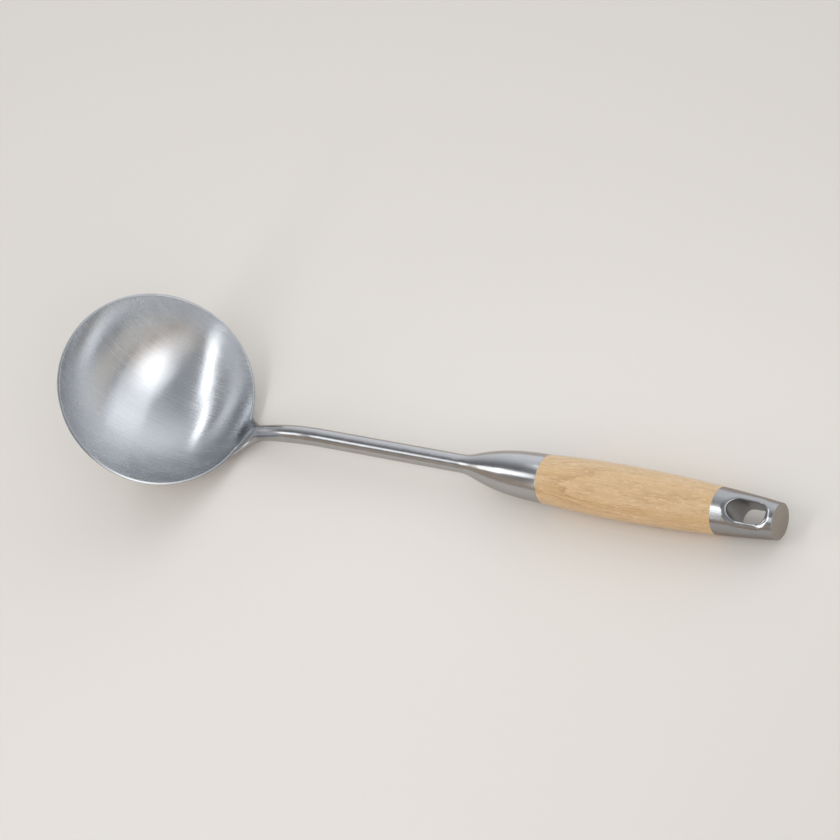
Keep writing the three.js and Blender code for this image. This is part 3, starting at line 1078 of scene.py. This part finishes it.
    def cap_circle(self, skin: Skin, along: float, radius: float) -> Array:
        """Adds a full circle round the axis to the cap's mesh.

        Args:
            skin: The cap's mesh.
            along: Place along the handle.
            radius: Radius of the circle.

        Returns:
            The points' numbers.
        """
        turn, places = self.half_turn, np.full(self.round_steps, along)
        halves = [self.cap_points(places, side * turn, side, radius) for side in (1, -1)]
        return self.cap_ring(skin, np.concatenate(halves))

    def slot_outline(self, grow: float) -> tuple[Array, Array]:
        """Outline of the slot on the cap's surface.

        Args:
            grow: How far outside the slot's own wall.

        Returns:
            Places along the handle, and angles from the middle of the slot.
        """
        radius = self.slot_width / 2
        half = self.slot_length / 2 - radius
        turn, steps = self.half_turn, self.straight_steps
        run = np.linspace(half, -half, steps + 1)[:-1]
        end = np.stack([half + (radius + grow) * np.cos(turn), (radius + grow) * np.sin(turn)], axis=-1)
        edge = np.stack([run, np.full(steps, radius + grow)], axis=-1)
        outline = np.concatenate([end, edge, -end, -edge])
        along = self.slot_middle + outline[:, 0]
        return along, np.arcsin(outline[:, 1] / self.cap_radius(along))

    def cap_border(self) -> tuple[Array, Array]:
        """Border of one half of the cap's surface, with a point for each point of the slot's outline.

        Returns:
            Places along the handle, and angles from the middle of the slot.
        """
        turn, steps, quarter = self.half_turn, self.straight_steps, math.pi / 2
        along, angle = [], []
        for here, there, sign in ((self.cap_edge, self.cap_start, 1), (self.cap_start, self.cap_edge, -1)):
            along += [np.full(len(turn), here), np.linspace(here, there, steps + 1)[:-1]]
            angle += [sign * turn, np.full(steps, sign * quarter)]
        return np.concatenate(along), np.concatenate(angle)

    def build_cap_half(self, skin: Skin, side: int) -> Array:
        """Makes one half of the cap's surface, with a rounded mouth of the slot.

        Args:
            skin: The cap's mesh.
            side: 1 for the upper half, -1 for the lower one.

        Returns:
            Points on the slot's wall where the rounding of the mouth begins.
        """
        mouth = self.cap_points(*self.slot_outline(0), side)
        away, away_angle = self.slot_outline(self.slot_rounding)
        border, border_angle = self.cap_border()
        through = np.array([0, -math.sin(self.slot_turn), math.cos(self.slot_turn)]) * side
        inside = mouth - through * self.slot_rounding_depth
        rows = curve(inside, mouth, self.cap_points(away, away_angle, side), self.mouth_rows)
        for share in np.linspace(0, 1, self.cap_rows + 1)[1:]:
            eased = share**self.cap_crowding
            angle = mix(away_angle, border_angle, eased)
            rows.append(self.cap_points(mix(away, border, eased), angle, side))
        skin.bands([self.cap_ring(skin, points) for points in rows])
        return inside

    def build_cap(self) -> Skin:
        """Makes the end cap, with its slot, a flat end, a boss and a hole for the rod.

        Returns:
            The mesh. Finish 1 is the wall of the slot and finish 2 is the flat end.
        """
        skin = Skin()
        upper, lower = (self.build_cap_half(skin, side) for side in (1, -1))
        shares = np.linspace(0, 1, self.slot_rows + 1)
        skin.bands([self.cap_ring(skin, mix(upper, lower, share)) for share in shares], finish=1)

        start, end = self.cap_start, self.cap_end
        edge_radius = float(self.cap_radius(self.cap_edge))
        flat = self.cap_end_diameter / 2 - self.edge_rounding
        corners = [(self.cap_edge, edge_radius), (end, edge_radius), (end, flat)]
        rim = rounded(corners, [self.edge_rounding], self.edge_steps)
        rings = [self.cap_circle(skin, *point) for point in rim]
        skin.bands(rings)
        rings = rings[-1:] + [self.cap_circle(skin, end, flat * share) for share in self.flat_shares]
        skin.bands(rings, finish=2)
        skin.tip(rings[-1], self.on_axis(end), finish=2)

        boss, hole, boss_end = self.boss_diameter / 2, self.rod_hole_diameter / 2, start - self.boss_length
        hole_floor = self.slot_middle - self.slot_length / 2 - self.rod_hole_floor
        inner = [(start, self.cap_seam_diameter / 2), (start, boss), (boss_end, boss), (boss_end, hole)]
        rings = [self.cap_circle(skin, *point) for point in inner + [(hole_floor, hole)]]
        skin.bands(rings)
        skin.tip(rings[-1], self.on_axis(hole_floor))
        return skin

    def dress(self, rest: "Rest") -> list[bpy.types.Object]:
        """Builds and dresses the pieces of the handle, and dresses the rod that hides in it.

        Args:
            rest: How the ladle lies.

        Returns:
            The pieces, from the weld to the rod.
        """
        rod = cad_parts["tang_rod"]
        rod.data.materials.clear()
        rod.data.materials.append(ROD_PLAIN.material())
        weld = self.build_weld().piece("ferrule_weld_ring", rest)
        bell = self.build_ferrule().piece("ferrule_bell", rest)
        grip = self.build_grip().piece("grip_wood", rest)
        cap = self.build_cap().piece("end_cap_shell", rest)
        return [
            stand_in(weld, "ferrule_weld", Slot.WELD, WELD_GROUND),
            stand_in(bell, "ferrule", Slot.STEM, STEM_POLISHED),
            stand_in(grip, "grip", Slot.GRIP, PALE_WOOD),
            stand_in(cap, "end_cap", Slot.CAP, CAP_PAINTED_SHADE, SLOT_WALL, FLAT_END_PAINTED_REFLECTION),
            rod,
        ]


@dataclass
class Rest:
    """How the ladle lies: on its bowl and the grip's belly, the middle of its footprint at the origin."""

    bowl: Bowl
    handle: Handle
    contact_steps: int = 113

    @cached_property
    def angle(self) -> float:
        """Angle between the lip and the table.

        Returns:
            The angle at which the grip first touches, in radians.
        """
        bowl, handle = self.bowl, self.handle
        angles = []
        for distance in np.linspace(0, handle.grip_length, self.contact_steps):
            along = handle.stem.length + handle.ferrule_length + handle.seam_gap + distance
            x, z, _ = handle.stem.centre_line(along)
            slope = math.atan2(z - bowl.sphere_height, x)
            reach = math.hypot(x, z - bowl.sphere_height)
            radius = float(handle.grip_radius(distance))
            angles.append(slope + math.asin((bowl.sphere_radius - radius) / reach))
        return min(angles)

    def turn(self, points: Array) -> Array:
        """Lays points down by the angle alone.

        Args:
            points: Points in the frame of the lip.

        Returns:
            The turned points.
        """
        cos, sin = math.cos(self.angle), math.sin(self.angle)
        x, z = points[:, 0], points[:, 2]
        return np.stack([x * cos + z * sin, points[:, 1], z * cos - x * sin], axis=-1)

    @cached_property
    def shift(self) -> Array:
        """Shift after the turn.

        Returns:
            The shift, from the bowl's far wall, its lowest point and the cap's end.
        """
        bowl, handle = self.bowl, self.handle
        end = np.array([[handle.cap_end, 0, side * handle.cap_end_diameter / 2] for side in (-1, 1)])
        furthest = self.turn(handle.to_rim(end))[:, 0].max()
        middle = self.turn(np.array([[0, 0, bowl.sphere_height]]))[0]
        nearest = middle[0] - bowl.sphere_radius
        return np.array([-(nearest + furthest) / 2, 0, bowl.sphere_radius - middle[2]])

    def lay(self, points: Array) -> Array:
        """Lays points of the lip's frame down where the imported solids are."""
        return self.turn(points) + self.shift


DAYLIGHT: Colour = (0.97, 0.985, 1.0)
SOFT_WHITE: Colour = (0.98, 0.99, 1.0)
BOWL_FRONT: Triple = (-0.13, 0, 0.03)
BOWL_MIDDLE: Triple = (-0.15, 0, 0.03)


@dataclass(frozen=True)
class Softbox:
    """A flat studio lamp that looks at one place, with its width along a given direction."""

    name: str
    place: Triple
    aim: Triple
    width: float
    height: float
    radiance: float
    along: Triple = (1, 0, 0)
    colour: Colour = DAYLIGHT
    spread: float = math.pi

    def light(self) -> None:
        """Puts the lamp into the scene, out of the camera's sight."""
        lamp = bpy.data.lights.new(self.name, "AREA")
        lamp.shape = "RECTANGLE"
        lamp.size, lamp.size_y = self.width, self.height
        # A narrowed lamp puts all its power into its beam, so the power goes down with the beam's width.
        beam = 1.0 if self.spread == math.pi else math.tan(self.spread / 2) ** 2 / 3
        lamp.energy = self.radiance * beam * math.pi * self.width * self.height
        lamp.color = self.colour
        lamp.spread = self.spread
        made = bpy.data.objects.new(self.name, lamp)
        back = (Vector(self.place) - Vector(self.aim)).normalized()
        side = Vector(self.along)
        side = (side - back * side.dot(back)).normalized()
        axes = Matrix((side, back.cross(side), back)).transposed()
        made.matrix_world = Matrix.Translation(self.place) @ axes.to_4x4()
        made.visible_camera = False
        bpy.context.scene.collection.objects.link(made)


LAMPS = (
    Softbox("window", (-6.2, -1.88, 3.53), (-6.2, 0, 0.01), width=4.6, height=1.9, radiance=2.1),
    Softbox("grid", (-0.23, -0.159, 0.347), (0.12, 0.0295, -0.026), width=0.2, height=0.15, radiance=3.4,
            spread=math.radians(30)),
    Softbox("pane", (-0.425, -0.845, 1.59), (-0.425, 0, 0.01), width=0.39, height=0.8, radiance=2.5),
    Softbox("side_strip", (-0.42, -1.02, 0.68), BOWL_FRONT, width=0.66, height=0.2, radiance=4.2,
            along=(0.10, 0.50, 0.86)),
    Softbox("top_strip", (-0.60, 0.08, 1.63), BOWL_FRONT, width=1.8, height=0.2, radiance=3.2,
            along=(-0.256, 0.967, 0)),
    Softbox("front", (0.978, 0.096, 0.60), BOWL_MIDDLE, width=2.4, height=0.91, radiance=0.44,
            along=(-0.259, 0.966, 0), colour=SOFT_WHITE),
    Softbox("front_left", (0.378, -0.845, 0.52), BOWL_MIDDLE, width=0.9, height=0.42, radiance=0.42,
            along=(0.848, 0.53, 0), colour=SOFT_WHITE),
    Softbox("front_core", (0.33, -0.195, 0.38), BOWL_MIDDLE, width=0.6, height=0.46, radiance=1.7,
            along=(0.42, 0.91, 0), colour=SOFT_WHITE, spread=math.radians(60)),
)


@dataclass
class Studio:
    """Camera, floor, surroundings and lamps.

    The room's spans are shares of the view's direction: in X for the dark corner, in Y for the pale wall
    and the warm room in front, and in Z for how far down that room reaches.
    """

    eye: Triple = (0.86768, -0.56852, 1.18851)
    look_at: Triple = (-0.00725, 0.01676, 0.02367)
    roll: float = math.radians(-38.48)
    focal_length: float = 128.571
    sensor_width: float = 36.0
    floor_side: float = 6.0
    floor_colour: Colour = (0.78, 0.735, 0.68)
    floor_cloud: float = 0.5
    floor_contrast: float = 0.01
    floor_roughness: float = 0.9
    floor_gloss: float = 0.1
    above: Colour = (0.42, 0.438, 0.466)
    corner: Colour = (0.25, 0.256, 0.266)
    corner_span: Pair = (-0.5, 0.1)
    wall: Colour = (1.15, 1.19, 1.24)
    wall_span: Pair = (0.0, 0.85)
    room: Colour = (0.54, 0.45, 0.375)
    room_span: Pair = (0.0, -0.3)
    room_height_span: Pair = (0.75, 0.25)
    lamps: tuple[Softbox, ...] = LAMPS

    def set_camera(self) -> None:
        """Makes the camera that sees the ladle as photographed."""
        data = bpy.data.cameras.new("camera")
        data.sensor_width = self.sensor_width
        data.lens = self.focal_length
        camera = bpy.data.objects.new("camera", data)
        towards = Vector(self.look_at) - Vector(self.eye)
        camera.matrix_world = (
            Matrix.Translation(self.eye)
            @ towards.to_track_quat("-Z", "Y").to_matrix().to_4x4()
            @ Matrix.Rotation(self.roll, 4, "Z")
        )
        bpy.context.scene.collection.objects.link(camera)
        bpy.context.scene.camera = camera

    def set_floor(self) -> None:
        """Makes the pale floor."""
        skin = Skin()
        half = self.floor_side / 2
        corners = np.array([[-half, -half, 0], [half, -half, 0], [half, half, 0], [-half, half, 0]])
        skin.cover(list(skin.ring(corners)[:, None]), finish=0)
        floor = skin.piece("floor")
        material = bpy.data.materials.new("floor_paint")
        nodes = Nodes(material)
        place = nodes.add("TexCoord").outputs["Object"]
        cloud = nodes.noise(place, (self.floor_cloud,) * 3, detail=2, rough=0.5)
        tones = (shaded(self.floor_colour, 1 + sign * self.floor_contrast) for sign in (-1, 1))
        nodes.feed(nodes.shader, {
            "Base Color": nodes.blend(cloud, *tones),
            "Roughness": self.floor_roughness,
            "Specular IOR Level": self.floor_gloss,
        })
        floor.data.materials.append(material)

    def set_surroundings(self) -> None:
        """Makes a soft room: a pale wall at +Y, a warm dim one at -Y and a dark corner at -X."""
        world = bpy.data.worlds.new("room")
        bpy.context.scene.world = world
        nodes = Nodes(world, "Background")
        direction = nodes.add("TexCoord").outputs["Generated"]
        x, y, z = nodes.add("SeparateXYZ", {0: direction}).outputs
        open_side, walled, front, low = (
            nodes.between(part, span, way="SMOOTHSTEP")
            for part, span in (
                (x, self.corner_span), (y, self.wall_span), (y, self.room_span), (z, self.room_height_span),
            )
        )
        colour = nodes.blend(open_side, opaque(self.corner), opaque(self.above))
        colour = nodes.blend(walled, colour, opaque(self.wall))
        colour = nodes.blend(nodes.maths("MULTIPLY", low, front), colour, opaque(self.room))
        nodes.feed(nodes.shader, {"Color": colour})

    def build(self) -> None:
        """Sets everything up."""
        self.set_camera()
        self.set_floor()
        self.set_surroundings()
        for lamp in self.lamps:
            lamp.light()
        bpy.context.scene.view_settings.view_transform = "Standard"


def main() -> None:
    """Builds the studio and the ladle, and reports each piece."""
    logging.basicConfig(level=logging.INFO, format="%(name)s: %(message)s")
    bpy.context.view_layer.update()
    Studio().build()

    bowl = Bowl()
    stem = Stem(bowl)
    handle = Handle(stem)
    rest = Rest(bowl, handle)
    for part in (bowl, stem, handle):
        for piece in part.dress(rest):
            finishes = ", ".join(material.name for material in piece.data.materials)
            log.info("%s: %d faces in %s", piece.name, len(piece.data.polygons), finishes)


if __name__ == "__main__":
    main()
